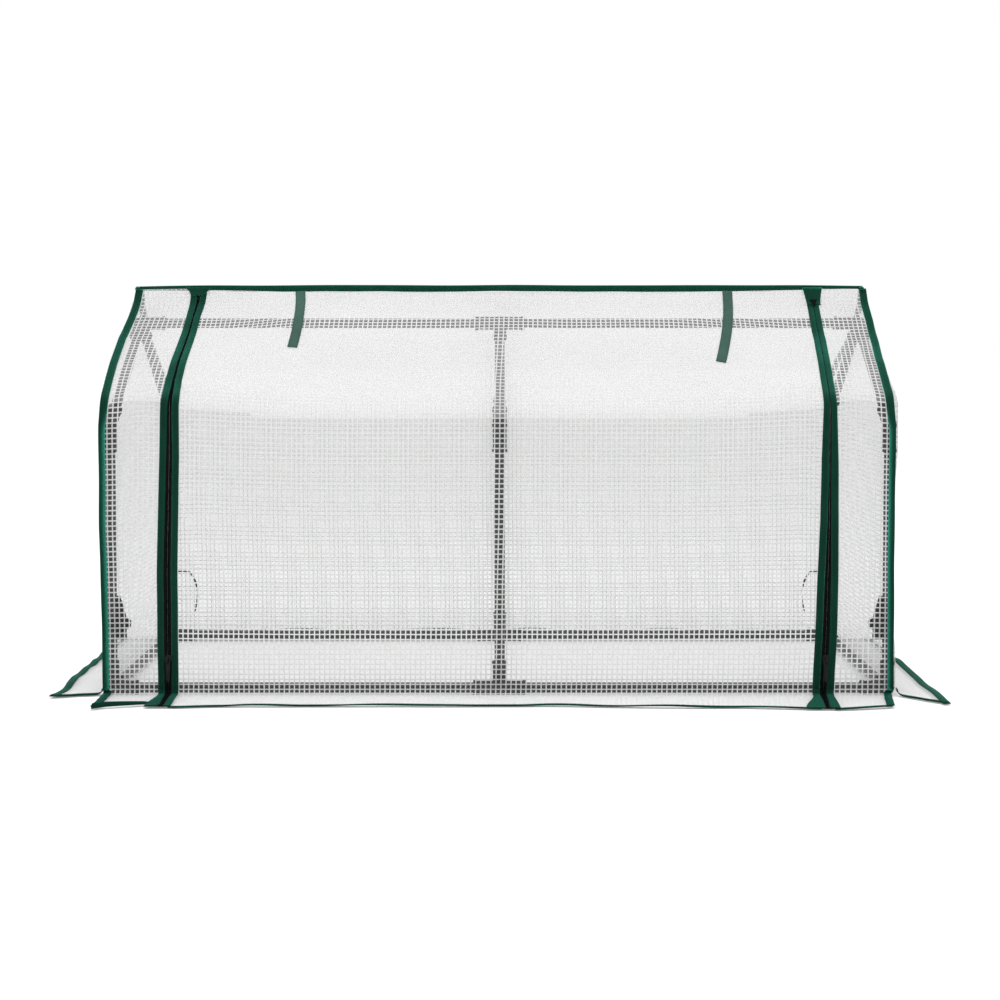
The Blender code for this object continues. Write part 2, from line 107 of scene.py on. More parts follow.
# How far the front hem reaches past the cut of the flap, where the cloth of the wall is slack.
HEM_PLACES = (-0.608, -0.585, -0.550, -0.530, -0.507, -0.480, -0.440, -0.380, 0.070, 0.220, 0.370, 0.450,
              0.500, 0.530, 0.590)
HEM_SLACK = (0.0265, 0.0120, 0.0030, -0.0040, 0.0110, 0.0100, 0.0050, 0.0020, 0.0, 0.0080, 0.0130, 0.0210,
             0.0255, 0.0200, 0.0080)

# The zips down the cloth: places, half of the black zip between its green tapes, and each tape's width,
# which is less on the roof where the tapes curl.
ZIP_ROWS = (0.0, 0.09, 0.17, 0.25, 0.33, 0.40, 0.52, 0.65, 0.77, 0.90, 1.0, 2.0)
ZIP_PATH = {"left": (-0.5010, -0.5041, -0.5058, -0.5067, -0.5073, -0.5048, -0.5061, -0.5088, -0.5108, -0.5110,
                     -0.5105, -0.5040),
            "right": (0.5205, 0.5190, 0.5180, 0.5132, 0.5091, 0.5055, 0.5056, 0.5061, 0.5039, 0.5018, 0.4985,
                      0.4860)}
ZIP_BLACK = {"left": (0.0030, 0.0010, 0.0015, 0.0018, 0.0022, 0.0034, 0.0050, 0.0055, 0.0058, 0.0058, 0.0055,
                      0.0030),
             "right": (0.0004, 0.0004, 0.0004, 0.0004, 0.0005, 0.0007, 0.0018, 0.0030, 0.0050, 0.0058, 0.0055,
                       0.0030)}
ZIP_TAPE = {"left": (0.0108, 0.0102), "right": (0.0094, 0.0112)}
ZIP_FLARE = {"left": (0.0120, 0.0010), "right": (0.0045, 0.0180)}     # at the hem, outer and inner tape


# ---- the surface of the cloth
def smooth_step(value):
    value = np.clip(value, 0, 1)
    return value * value * (3 - 2 * value)


def ripple(u, v, seed, shortest=0.07, longest=0.30, waves=7):
    """Soft, unordered waves of about unit height over two lengths in metres."""
    draw = np.random.default_rng(seed)
    total = np.zeros(np.broadcast(u, v).shape)
    for _ in range(waves):
        angle, phase = draw.uniform(0, 2 * pi, 2)
        number = 2 * pi / draw.uniform(shortest, longest)
        total = total + np.sin(number * (u * np.cos(angle) + v * np.sin(angle)) + phase)
    return total / np.sqrt(waves)


def unit(vectors):
    return vectors / (np.linalg.norm(vectors, axis=-1, keepdims=True) + 1e-12)


def distances(path):
    """How far along the path each of its points is."""
    return np.concatenate([[0], np.cumsum(np.linalg.norm(np.diff(path, axis=0), axis=1))])


def read_at(values, wanted, length):
    """Values that go with a path's points, read at other distances along it."""
    return np.stack([np.interp(wanted, length, column) for column in values.T], axis=1)


def resample(points, count):
    """Points at equal steps along a line."""
    length = distances(points)
    return read_at(points, np.linspace(0, length[-1], count), length)


def soften(points, reach):
    """Rounds a line's corners over that many points, keeping its ends."""
    kernel = np.hanning(2 * reach + 1)
    kernel /= kernel.sum()
    for k in (0, 1):
        ends = np.concatenate([2 * points[0, k] - points[reach:0:-1, k], points[:, k],
                               2 * points[-1, k] - points[-2:-reach - 2:-1, k]])
        points[:, k] = np.convolve(ends, kernel, "valid")
    return points


class Cloth:
    """Front or rear cloth. Row 0 is the ridge, row 1 the foot of the wall, row 2 the hem."""

    COLUMNS, UPPER_STEPS, LOWER_STEPS = 249, 376, 45

    def __init__(self, y_side, seed):
        self.y_side = y_side
        self.columns = np.linspace(-0.62, 0.62, self.COLUMNS)
        upper, lower = [], []
        for x in self.columns:
            roof = self.roof(x)
            wall = [(WALL_Y + 0.0012, 0.397), (WALL_Y + 0.0008, 0.20), (WALL_Y + 0.0006, JOIN_Z)]
            line = resample(np.array(roof + wall), self.UPPER_STEPS)
            upper.append(resample(soften(line, 7), self.UPPER_STEPS))
            foot = [(WALL_Y + 0.0006, JOIN_Z), (WALL_Y + 0.0020, 0.0040), (WALL_Y + 0.0080, FLAP_Z),
                    (WALL_Y + 0.0020 + HEM, FLAP_Z)]
            line = resample(np.array(foot), self.LOWER_STEPS)
            lower.append(resample(soften(line, 2), self.LOWER_STEPS))
        self.upper, self.lower = np.array(upper), np.array(lower)
        self.settle(seed)

    def roof(self, x):
        """Section of the roof at x, fuller at the fold beside the gables and lower at the ridge's ends."""
        gable = smooth_step((abs(x) - 0.27) / 0.27)
        heights = (1 - gable) * np.array(ROOF_MIDDLE) + gable * np.array(ROOF_GABLE)
        heights[-2:] += 0.011 * np.exp(-((abs(x) - 0.55) / 0.035) ** 2)
        heights[0] -= 0.0024 * (x / CLOTH_X) ** 8
        return list(zip(ROOF_STEPS, heights))

    def settle(self, seed):
        """Slight waves in walls and roof, and larger ones towards the hem."""
        x = self.columns[:, None]
        row = np.linspace(0, 1, self.upper.shape[1])[None, :]
        wave = ripple(x, row * RIPPLE_LENGTH, seed) * 0.0012 * np.minimum(row / 0.06, 1)
        wave *= np.minimum((1 - row) / 0.03, 1)
        roof_out, roof_up = 0.62, 0.78
        wall = smooth_step((row - 0.30) / 0.2)
        self.upper[..., 0] += wave * ((1 - wall) * roof_out + wall)
        self.upper[..., 1] += wave * (1 - wall) * roof_up
        far = np.linspace(0, 1, self.lower.shape[1])[None, :]
        lift = 0.0015 * far * (1 + ripple(x, far * HEM, seed + 1, 0.05, 0.22))
        self.lower[..., 1] += np.maximum(lift, 0)
        slack = np.interp(x, HEM_PLACES, HEM_SLACK) if self.y_side < 0 else 0.003
        self.lower[..., 0] += far * slack + 0.0010 * far ** 2 * ripple(x, 0 * far, seed + 2, 0.08, 0.30)

    def at(self, x, row):
        """Points of the cloth at these places, x in metres and row from 0 to 2."""
        x, row = np.broadcast_arrays(np.asarray(x, float), np.asarray(row, float))
        column = np.clip((x - self.columns[0]) / (self.columns[1] - self.columns[0]), 0, self.COLUMNS - 1.001)
        low = column.astype(int)
        part = (column - low)[..., None]

        def read(grid, share):
            step = np.clip(share, 0, 1) * (grid.shape[1] - 1)
            first = np.minimum(step.astype(int), grid.shape[1] - 2)
            rest = (step - first)[..., None]
            pick = [(1 - rest) * grid[low + k, first] + rest * grid[low + k, first + 1] for k in (0, 1)]
            return (1 - part) * pick[0] + part * pick[1]

        where = np.where((row <= 1)[..., None], read(self.upper, row), read(self.lower, row - 1))
        return np.stack([x, self.y_side * where[..., 0], where[..., 1]], axis=-1)

    def normal(self, x, row):
        """Directions straight out of the cloth at these places."""
        across = self.at(x + 0.002, row) - self.at(x - 0.002, row)
        row = np.asarray(row, float)
        along = self.at(x, np.minimum(row + 0.004, 2)) - self.at(x, np.maximum(row - 0.004, 0))
        return unit(np.cross(along, across) * -self.y_side)


front, rear = Cloth(-1, 11), Cloth(1, 23)


def zip_x(side, row):
    return np.interp(row, ZIP_ROWS, ZIP_PATH[side])


def seam_x(side, row):
    """Where front and rear cloths end, at the seam with an end panel."""
    inward = np.interp(row, SEAM_ROWS[side], SEAM_IN[side])
    return (CLOTH_X - inward) * (-1 if side == "left" else 1)


# ---- pieces
def put(name, data):
    """A new object of this data, in the scene."""
    piece = bpy.data.objects.new(name, data)
    bpy.context.scene.collection.objects.link(piece)
    return piece


class Shape:
    """Quads of one piece, gathered before they become a mesh."""

    def __init__(self):
        self.points, self.faces, self.slots, self.smooth, self.places = [], [], [], [], []
        self.count = 0

    def add(self, points, faces, slot=0, places=None):
        points = np.asarray(points, float).reshape(-1, 3)
        faces = np.asarray(faces, int).reshape(-1, 4)
        self.points.append(points)
        self.faces.append(faces + self.count)
        self.slots.append(np.full(len(faces), slot))
        self.smooth.append(np.ones(len(faces), bool))
        self.places.append(np.zeros((len(points), 2)) if places is None else places)
        self.count += len(points)

    def make(self, name, materials):
        points, faces = np.concatenate(self.points), np.concatenate(self.faces)
        mesh = bpy.data.meshes.new(name)
        mesh.from_pydata(points.tolist(), [], faces.tolist())
        mesh.polygons.foreach_set("material_index", np.concatenate(self.slots).astype(np.int32))
        mesh.polygons.foreach_set("use_smooth", np.concatenate(self.smooth))
        places = np.concatenate(self.places)[faces.ravel()]
        mesh.uv_layers.new(name="UVMap").data.foreach_set("uv", places.astype(np.float32).ravel())
        for material in materials:
            mesh.materials.append(material)
        mesh.update()
        return put(name, mesh)

    def make_closed(self, name, materials):
        """Makes a closed piece, whose faces are turned outwards, in its slot."""
        piece = self.make(name, materials)
        work = bmesh.new()
        work.from_mesh(piece.data)
        bmesh.ops.recalc_face_normals(work, faces=work.faces)
        work.to_mesh(piece.data)
        work.free()
        return piece


def ring_faces(rings, around):
    """Quads between closed rings of points, one after another, with both ends capped."""
    faces = []
    for i in range(rings - 1):
        for k in range(around):
            after = (k + 1) % around
            faces.append((i * around + k, i * around + after, (i + 1) * around + after, (i + 1) * around + k))
    for start in (0, (rings - 1) * around):
        for k in range(around // 2 - 1):
            faces.append((start + k, start + k + 1, start + around - 2 - k, start + around - 1 - k))
    return faces


def tape_section(width, thick, round_ends=(True, True), sides=4):
    """Closed outline of a flat tape, from its low edge to its high edge and back."""
    half = thick / 2
    points = []
    for end, at in ((1, width), (0, 0.0)):
        sign = 1 if end else -1
        if round_ends[end]:
            for k in range(sides + 1):
                angle = pi / 2 - pi * k / sides
                points.append((at + sign * half * (np.cos(angle) - 1), sign * half * np.sin(angle)))
        else:
            points += [(at, sign * half), (at, -sign * half)]
    return np.array(points)


def centred_section(width, thick):
    """Closed outline of a flat tape about its middle line."""
    return tape_section(width, thick) - np.array([width / 2, 0])


def sweep(shape, path, side, up, sections, slot=0):
    """Adds a tape along a path. Sections are outlines in the directions side and up."""
    path, side, up = (np.asarray(v, float) for v in (path, side, up))
    side, up = np.broadcast_to(side, path.shape), np.broadcast_to(up, path.shape)
    sections = np.broadcast_to(sections, (len(path),) + np.shape(sections)[-2:])
    around = sections.shape[1]
    points = path[:, None] + side[:, None] * sections[..., :1] + up[:, None] * sections[..., 1:]
    length = distances(path)
    places = np.stack([np.broadcast_to(length[:, None], points.shape[:2]), sections[..., 0]], axis=-1)
    shape.add(points, ring_faces(len(path), around), slot, places=places.reshape(-1, 2))


def spaced(length, spacing):
    """Distances in the middle of even spaces that share out a length."""
    count = max(int(length / spacing), 1)
    return (np.arange(count) + 0.5) * length / count


def add_blocks(shape, corners, faces, slot):
    """Adds many small blocks at once. Each of corners holds that corner of every block."""
    blocks = np.stack(corners, axis=1)
    faces = np.array(faces)[None] + np.arange(len(blocks))[:, None, None] * blocks.shape[1]
    shape.add(blocks, faces, slot)


STITCH_LONG, STITCH_WIDE, STITCH_SPACING = 0.0030, 0.00035, 0.0042
STITCH_SLOT = 1


def stitches(shape, path, up):
    """Adds a row of short raised stitches along a path."""
    path, up = np.asarray(path, float), np.broadcast_to(np.asarray(up, float), np.shape(path))
    length = distances(path)
    wanted = spaced(length[-1], STITCH_SPACING)
    first, last = (read_at(path, wanted + end * STITCH_LONG / 2, length) for end in (-1, 1))
    lift = read_at(up, wanted, length)
    ahead = last - first
    aside = unit(np.cross(ahead, lift)) * STITCH_WIDE
    corners = []
    for share, grow, rise in ((0, 0.5, -0.0002), (0.25, 1, 0.0003), (0.75, 1, 0.0003), (1, 0.5, -0.0002),
                              (0, 1, -0.0006), (1, 1, -0.0006)):
        for turn in (-1, 1):
            corners.append(first + ahead * share + aside * grow * turn + lift * rise)
    add_blocks(shape, corners, ((0, 1, 3, 2), (2, 3, 5, 4), (4, 5, 7, 6), (0, 2, 4, 6), (1, 7, 5, 3),
                                (8, 10, 11, 9), (8, 0, 6, 10), (1, 9, 11, 7), (0, 8, 9, 1), (6, 7, 11, 10)),
               STITCH_SLOT)


def net(name, corners, normals, keep=None):
    """A piece of cover from the crossings of its threads: raised threads round windows of film.

    Windows that face up get a lighter grey copy of the film: painted haze for the sheen and top light that
    the roof catches.
    """
    rows, columns = corners.shape[0] - 1, corners.shape[1] - 1
    near = THREAD / PITCH
    inner = []
    for down, right in ((near, near), (near, 1 - near), (1 - near, 1 - near), (1 - near, near)):
        top = corners[:-1, :-1] * (1 - right) + corners[:-1, 1:] * right
        foot = corners[1:, :-1] * (1 - right) + corners[1:, 1:] * right
        inner.append(top * (1 - down) + foot * down)
    inner = np.stack(inner, axis=2).reshape(-1, 3)
    crossings = (corners + normals * RELIEF).reshape(-1, 3)
    keep = np.ones((rows, columns), bool) if keep is None else keep
    r, c = np.nonzero(keep)
    wide = columns + 1
    outer = np.stack([r * wide + c, r * wide + c + 1, (r + 1) * wide + c + 1, (r + 1) * wide + c], axis=1)
    window = len(crossings) + (r * columns + c)[:, None] * 4 + np.arange(4)[None]
    threads = [np.stack([outer[:, k], outer[:, (k + 1) % 4], window[:, (k + 1) % 4], window[:, k]], axis=1)
               for k in range(4)]
    faces = np.concatenate([window] + threads)
    used = np.zeros(len(crossings) + len(inner), bool)
    used[faces.ravel()] = True
    renumber = np.cumsum(used) - 1
    shape = Shape()
    shape.points = [np.concatenate([crossings, inner])[used]]
    shape.places = [np.zeros((used.sum(), 2))]
    shape.faces = [renumber[faces]]
    # windows facing up take the copy of the film with painted haze for the roof's sheen and top light
    facing_up = (normals[:-1, :-1, 2] > 0.35)[r, c]
    shape.slots = [np.concatenate([np.where(facing_up, 2, 1), np.zeros(len(faces) - len(window))])]
    shape.smooth = [np.concatenate([np.zeros(len(window), bool), np.ones(len(faces) - len(window), bool)])]
    piece = shape.make(name, [thread, film, film_painted_haze])
    return piece


def cloth_net(name, cloth, left, right, first, last):
    """A piece of a cloth between two edges given as functions of the row."""
    lengths = (CLOTH_LENGTH, HEM_LENGTH)
    spans = [(max(first, k), min(last, k + 1)) for k in (0, 1)]
    rows = [np.linspace(a, b, max(int(round((b - a) * length / PITCH)), 1) + 1)
            for (a, b), length in zip(spans, lengths) if b > a]
    rows = np.unique(np.concatenate(rows))
    count = int(round((right(0.5) - left(0.5)) / PITCH))
    share = np.linspace(0, 1, count + 1)[None, :]
    x = left(rows)[:, None] * (1 - share) + right(rows)[:, None] * share
    row = np.broadcast_to(rows[:, None], x.shape)
    return net(name, cloth.at(x, row), cloth.normal(x, row))


# ---- materials
def new_material(name, colour, roughness, **sockets):
    material = bpy.data.materials.new(name)
    material.use_nodes = True
    shader = material.node_tree.nodes["Principled BSDF"]
    shader.inputs["Base Color"].default_value = (*colour, 1)
    shader.inputs["Roughness"].default_value = roughness
    for socket, value in sockets.items():
        shader.inputs[socket.replace("_", " ")].default_value = value
    return material


class Nodes:
    """Short hand for a material's nodes."""

    def __init__(self, material):
        self.tree = material.node_tree
        self.shader = self.tree.nodes["Principled BSDF"]
        self.coordinates = self.tree.nodes.new("ShaderNodeTexCoord")

    def new(self, kind, inputs=(), **values):
        node = self.tree.nodes.new("ShaderNode" + kind)
        for key, value in values.items():
            setattr(node, key, value)
        for socket, value in dict(inputs).items():
            if isinstance(value, bpy.types.NodeSocket):
                self.tree.links.new(value, node.inputs[socket])
            else:
                node.inputs[socket].default_value = value
        return node

    def scaled(self, source, scale):
        return self.new("Mapping", {"Vector": self.coordinates.outputs[source], "Scale": scale}).outputs[0]

    def noise(self, scale, detail=3.0, source="Object", stretch=(1, 1, 1)):
        vector = self.scaled(source, stretch)
        return self.new("TexNoise", {"Vector": vector, "Scale": scale, "Detail": detail}).outputs["Fac"]

    def drive(self, socket, value):
        self.tree.links.new(value, self.shader.inputs[socket])

    def colour(self, value, low, high):
        node = self.new("ValToRGB", {"Fac": value})
        for element, position, shade in zip(node.color_ramp.elements, (0.3, 0.7), (low, high)):
            element.position = position
            element.color = (*shade, 1)
        self.drive("Base Color", node.outputs["Color"])

    def roughness(self, value, low, high):
        inputs = {"Value": value, "To Min": low, "To Max": high}
        self.drive("Roughness", self.new("MapRange", inputs).outputs[0])

    def bump(self, value, strength, distance):
        inputs = {"Height": value, "Strength": strength, "Distance": distance}
        self.drive("Normal", self.new("Bump", inputs).outputs[0])

    def math(self, operation, a, b):
        return self.new("Math", {0: a, 1: b}, operation=operation).outputs[0]


def woven(name, dark, light, rib, roughness=0.72, **sockets):
    """Woven ribbon: ribs across it, finer yarns along it, and a little unevenness of colour."""
    material = new_material(name, light, roughness, **sockets)
    nodes = Nodes(material)
    across = nodes.new("TexWave", {"Vector": nodes.scaled("UV", (1 / rib, 0, 0)), "Scale": 1.0,
                                   "Distortion": 0.6, "Detail": 1.0, "Detail Scale": 2.0})
    lengthwise = nodes.new("TexWave", {"Vector": nodes.scaled("UV", (0, 0.6 / rib, 0)), "Scale": 1.0},
                           bands_direction="Y")
    weave = nodes.math("MULTIPLY", across.outputs["Fac"], lengthwise.outputs["Fac"])
    cloud = nodes.noise(26.0, 4.0)
    mixed = nodes.new("Math", {0: weave, 1: 0.35, 2: nodes.math("MULTIPLY", cloud, 0.75)},
                      operation="MULTIPLY_ADD").outputs[0]
    nodes.colour(mixed, dark, light)
    nodes.roughness(cloud, roughness - 0.08, roughness + 0.08)
    nodes.bump(weave, 0.5, 0.00025)
    return material


def thread_material():
    """White tape of polyethylene, which lets some of the light behind it through."""
    material = new_material("cover_thread", (0.765, 0.765, 0.765), 0.42, Specular_IOR_Level=0.3)
    nodes = Nodes(material)
    fibres = nodes.noise(900.0, 2.0)
    cloud = nodes.noise(9.0, 3.0)
    nodes.colour(cloud, (0.75, 0.75, 0.75), (0.78, 0.78, 0.78))
    nodes.roughness(fibres, 0.34, 0.52)
    nodes.bump(fibres, 0.35, 0.0002)
    glow = nodes.new("BsdfTranslucent", {"Color": (0.785, 0.785, 0.785, 1)})
    both = nodes.new("MixShader", {0: 0.58, 1: nodes.shader.outputs[0], 2: glow.outputs[0]})
    output = nodes.tree.nodes["Material Output"]
    nodes.tree.links.new(both.outputs[0], output.inputs["Surface"])
    return material


def film_material(name, grey, alpha):
    """Clear film with a haze of its own grey."""
    material = new_material(name, (grey, grey, grey), 0.22, Alpha=alpha, Sheen_Weight=1.0,
                            Sheen_Roughness=0.25)
    nodes = Nodes(material)
    nodes.bump(nodes.noise(60.0, 4.0), 0.25, 0.002)
    return material


def tube_material():
    material = new_material("frame_tube_coat", (0.011, 0.014, 0.013), 0.36, Metallic=0.1,
                            Coat_Weight=0.25, Coat_Roughness=0.2)
    nodes = Nodes(material)
    peel = nodes.noise(420.0, 3.0)
    cloud = nodes.noise(7.0, 4.0, stretch=(1, 1, 0.2))
    nodes.colour(cloud, (0.008, 0.010, 0.010), (0.017, 0.021, 0.019))
    nodes.roughness(cloud, 0.30, 0.46)
    nodes.bump(peel, 0.2, 0.0003)
    return material


def connector_material():
    material = new_material("connector_plastic", (0.013, 0.014, 0.014), 0.52)
    nodes = Nodes(material)
    grain = nodes.noise(1400.0, 2.0)
    nodes.colour(nodes.noise(14.0, 3.0), (0.010, 0.011, 0.011), (0.022, 0.023, 0.023))
    nodes.roughness(grain, 0.44, 0.62)
    nodes.bump(grain, 0.3, 0.0002)
    return material


def metal_material(name, low, high):
    material = new_material(name, high, 0.34, Metallic=0.85)
    nodes = Nodes(material)
    wear = nodes.noise(160.0, 5.0)
    nodes.colour(wear, low, high)
    nodes.roughness(wear, 0.26, 0.48)
    nodes.bump(nodes.noise(900.0, 2.0), 0.15, 0.0001)
    return material


def green_ribbon(name, dark, light, sheen):
    return woven(name, dark, light, 0.0011, Sheen_Weight=sheen, Sheen_Roughness=0.34,
                 Sheen_Tint=(0.12, 0.95, 0.68, 1), Specular_IOR_Level=0.04)


def grained_material(name, colour, roughness, specular, grain, strength, distance):
    material = new_material(name, colour, roughness, Specular_IOR_Level=specular)
    nodes = Nodes(material)
    nodes.bump(nodes.noise(grain, 1.0), strength, distance)
    return material


GREEN_DARK, GREEN_LIGHT = (0.0020, 0.022, 0.0125), (0.0034, 0.036, 0.0210)
thread = thread_material()
# The second film is the same clear film in a lighter grey: painted haze for the sheen and top light on the
# roof's windows.
film, film_painted_haze = film_material("cover_film", 0.08, 0.210), film_material("cover_film_painted_haze", 0.50, 0.26)
binding = green_ribbon("binding_ribbon", GREEN_DARK, GREEN_LIGHT, 1.0)
flap_ribbon = green_ribbon("flap_ribbon", GREEN_DARK, GREEN_LIGHT, 0.28)
# Ridge tape: the binding's green made lighter, a painted highlight for the top light the ridge catches.
ridge_ribbon_painted_light = green_ribbon("ridge_ribbon_painted_light", (0.0034, 0.037, 0.022), (0.0055, 0.058, 0.035), 1.0)
strap_web = woven("strap_webbing", (0.030, 0.068, 0.053), (0.050, 0.104, 0.083), 0.0016, Sheen_Weight=0.5,
                  Sheen_Roughness=0.25, Sheen_Tint=(0.5, 0.95, 0.80, 1), Specular_IOR_Level=0.08)
zip_tape = woven("zip_tape", (0.0022, 0.0027, 0.0026), (0.0060, 0.0070, 0.0068), 0.0009,
                 Specular_IOR_Level=0.04)
tie_tape = woven("tie_webbing", (0.0045, 0.0050, 0.0050), (0.0110, 0.0120, 0.0120), 0.0013,
                 Specular_IOR_Level=0.12)
green_yarn = grained_material("binding_stitch", (0.004, 0.050, 0.030), 0.55, 0.2, 2500.0, 0.5, 0.0002)
coil = grained_material("zip_coil", (0.0022, 0.0026, 0.0026), 0.45, 0.03, 1800.0, 0.3, 0.0001)


def dress_frame():
    """Gives the tubes, connectors and zip hardware of the CAD frame their surfaces."""
    tube, connector = tube_material(), connector_material()
    hardware = metal_material("slider_metal", (0.006, 0.0065, 0.0065), (0.016, 0.017, 0.017))
    kinds = {"rail": tube, "post": tube, "rafter": tube, "ridge_bar": tube, "corner": connector,
             "bottom_tee": connector, "eave_elbow": connector, "ridge_tee": connector,
             "ridge_cross": connector, "zip_slider": hardware, "zip_pull": hardware}
    for name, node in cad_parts.items():
        for start, material in kinds.items():
            if name.startswith(start) and not name.startswith("post_tie"):
                for slot in node.material_slots:
                    slot.material = material


def hang_door(piece):
    """Door cloth, which follows the roof part above the fold and the wall part below it: its placing is baked
    into its mesh.
    """
    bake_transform(piece)


def hang_flap(piece):
    """Front or rear flap, which leaves the wall at its foot: its placing is baked into its mesh."""
    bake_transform(piece)


def hang_end_flap(piece):
    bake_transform(piece)


# ---- cover
def seam_edge(side):
    return lambda row: seam_x(side, row)


def zip_edge(side):
    return lambda row: zip_x(side, row)


def build_front_cover():
    edges, width = (zip_edge("left"), zip_edge("right")), ZIP_X["left"] + ZIP_X["right"]
    door = cloth_net("door_cover", front, *edges, DOOR_TOP, 1)
    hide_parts("door_upper", "door_lower")
    hang_door(door)
    flap = cloth_net("door_flap_cover", front, *edges, 1, 2)
    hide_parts("door_flap")
    hang_flap(flap)
    for side, x_side in SIDES:
        edges, width = [zip_edge(side), seam_edge(side)][::x_side], CLOTH_X - ZIP_X[side]
        strip = cloth_net(f"front_strip_{side}_cover", front, *edges, 0, 1)
        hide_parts(f"front_strip_{side}")
        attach(strip, "root")
        foot = cloth_net(f"front_flap_{side}_cover", front, *edges, 1, 2)
        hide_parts(f"front_flap_{side}")
        hang_flap(foot)


def build_rear_cover():
    edges = seam_edge("left"), seam_edge("right")
    cloth = cloth_net("rear_cover", rear, *edges, 0, 1)
    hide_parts("rear_roof", "rear_wall")
    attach(cloth, "root")
    flap = cloth_net("rear_flap_cover", rear, *edges, 1, 2)
    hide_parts("rear_flap")
    hang_flap(flap)


def end_surface(side, x_side, y, z, reach):
    """Points of a gable end: close to the posts between their sockets, slack higher up, and turned in
    to the seams at its edges."""
    swell = np.clip(1 - (np.abs(y) / WALL_Y) ** 2, 0, 1) * smooth_step((z - 0.085) / 0.06)
    height = np.exp(-((z - 0.45) / 0.13) ** 2)
    waves = ripple(y, z, 41 + x_side) * 0.0011
    drawn_in = 0.0034 * smooth_step((z - 0.055) / 0.05) * smooth_step((0.375 - z) / 0.05)
    if side == "right":
        drawn_in = drawn_in + 0.0036 * smooth_step((z - 0.455) / 0.04) * smooth_step((0.560 - z) / 0.03)
    bulge = 0.0052 if side == "left" else 0.0010
    x = PANEL_X + 0.0002 - drawn_in + swell * (bulge * height + np.abs(waves))
    row = np.interp(z, (JOIN_Z, 0.44, RIDGE_TOP), (1, 0.42, 0))
    seam = np.abs(seam_x(side, row))
    turn = smooth_step(1 - (reach - np.abs(y)) / 0.016) ** 1.5
    return np.stack([x_side * (x + (seam - x) * turn), y, z], axis=-1)


def build_end_covers():
    for side, x_side in SIDES:
        rows = np.linspace(1, 0, 400)
        seams = [cloth.at(seam_x(side, rows), rows) for cloth in (front, rear)]
        top = seams[0][-1, 2]
        z = np.linspace(JOIN_Z, top, int(round((top - JOIN_Z) / PITCH)) + 1)
        y = np.linspace(-WALL_Y - 0.0008, WALL_Y + 0.0008, int(round(2 * WALL_Y / PITCH)) + 1)
        ahead, behind = (np.interp(z, seam[:, 2], np.abs(seam[:, 1]))[:, None] for seam in seams)
        grid = np.clip(y[None, :], -ahead, behind)
        wide = np.maximum(np.diff(grid[:-1], axis=1), np.diff(grid[1:], axis=1))
        heights = np.broadcast_to(z[:, None], grid.shape)
        corners = end_surface(side, x_side, grid, heights, np.where(grid < 0, ahead, behind))
        normals = np.broadcast_to(x_side * X, corners.shape)
        panel = net(f"end_{side}_cover", corners, normals, wide > 0.0004)
        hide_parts(f"end_panel_{side}")
        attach(panel, "root")
        build_end_flap(side, x_side)


# How an end flap strays from its cut: drawn in all along, a bow of its hem near the front, and its
# front corner pulled forward.
FLARE = {"left": (0.002, 0.008, 0.020), "right": (0.014, 0.005, 0.069)}


def end_flap_at(side, x_side, y, far):
    """Points of an end ground flap. Far runs from 0 at the wall to 1 at the hem."""
    y, far = np.broadcast_arrays(y, far)
    places = (0, 0.0065, 0.012, HEM_LENGTH)
    out = np.interp(far * HEM_LENGTH, places, (0, 0.0012, 0.0060, HEM + 0.0012))
    z = np.interp(far * HEM_LENGTH, places, (JOIN_Z, 0.0040, FLAP_Z, FLAP_Z))
    z = z + 0.0016 * far * np.maximum(1 + ripple(y, far * HEM, 60 + x_side, 0.05, 0.20), 0)
    inward, bow, forward = FLARE[side]
    front_end = np.exp(-(y + WALL_Y) / 0.05) * far ** 0.8
    out = out - far * (inward + bow * np.exp(-((y + 0.18) / 0.055) ** 2))
    out = out + 0.0016 * far ** 2 * ripple(y, 0 * far, 70 + x_side, 0.06, 0.2)
    kinks = 0.0030 * far * np.clip(np.abs(y) / WALL_Y, 0, 1) ** 6 * ripple(far, 0 * y, 75 + x_side, 0.25, 0.7)
    return np.stack([x_side * (PANEL_X + 0.0006 + out), y - forward * front_end + kinks, z], axis=-1)


def build_end_flap(side, x_side):
    y = np.linspace(-WALL_Y, WALL_Y, int(round(2 * WALL_Y / PITCH)) + 1)[:, None]
    far = np.linspace(0, 1, int(round(HEM_LENGTH / PITCH)) + 1)[None, :]
    corners = end_flap_at(side, x_side, y, far)
    normals = np.broadcast_to(Z, corners.shape)
    flap = net(f"end_flap_{side}_cover", corners, normals)
    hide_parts(f"end_flap_{side}")
    hang_end_flap(flap)
    shape = Shape()
    steps = np.linspace(0, 1, 20)
    for at_y, at_far, inside in ((np.linspace(-WALL_Y, WALL_Y, 80), 1.0, -x_side * X),
                                 (-WALL_Y, steps, Y), (WALL_Y, steps, -Y)):
        bind_edge(shape, end_flap_at(side, x_side, at_y, at_far) + 0.0003 * Z, inside, Z)
    piece = shape.make_closed(f"end_flap_{side}_binding", [flap_ribbon, green_yarn])
    hang_end_flap(piece)


# ---- bindings
def bind_edge(shape, path, inside, up, width=BINDING, thick=BINDING_THICK):
    """Adds a tape folded over an edge: it reaches inward from the edge, with one row of stitches."""
    inside = np.broadcast_to(inside, np.shape(path))
    up = np.broadcast_to(up, np.shape(path))
    sweep(shape, path - inside * 0.0006, inside, up, tape_section(width, thick, (False, True)))
    stitches(shape, path + inside * (width - STITCH_IN) + up * (thick / 2), up)


# How far the gable bindings lean out of the cloth, in radians, at these rows.
LEAN_ROWS = (0.0, 0.40, 0.46, 1.0, 1.06, 2.0)
BINDING_LEAN = (0.17, 0.24, 0.90, 0.90, 0.07, 0.07)


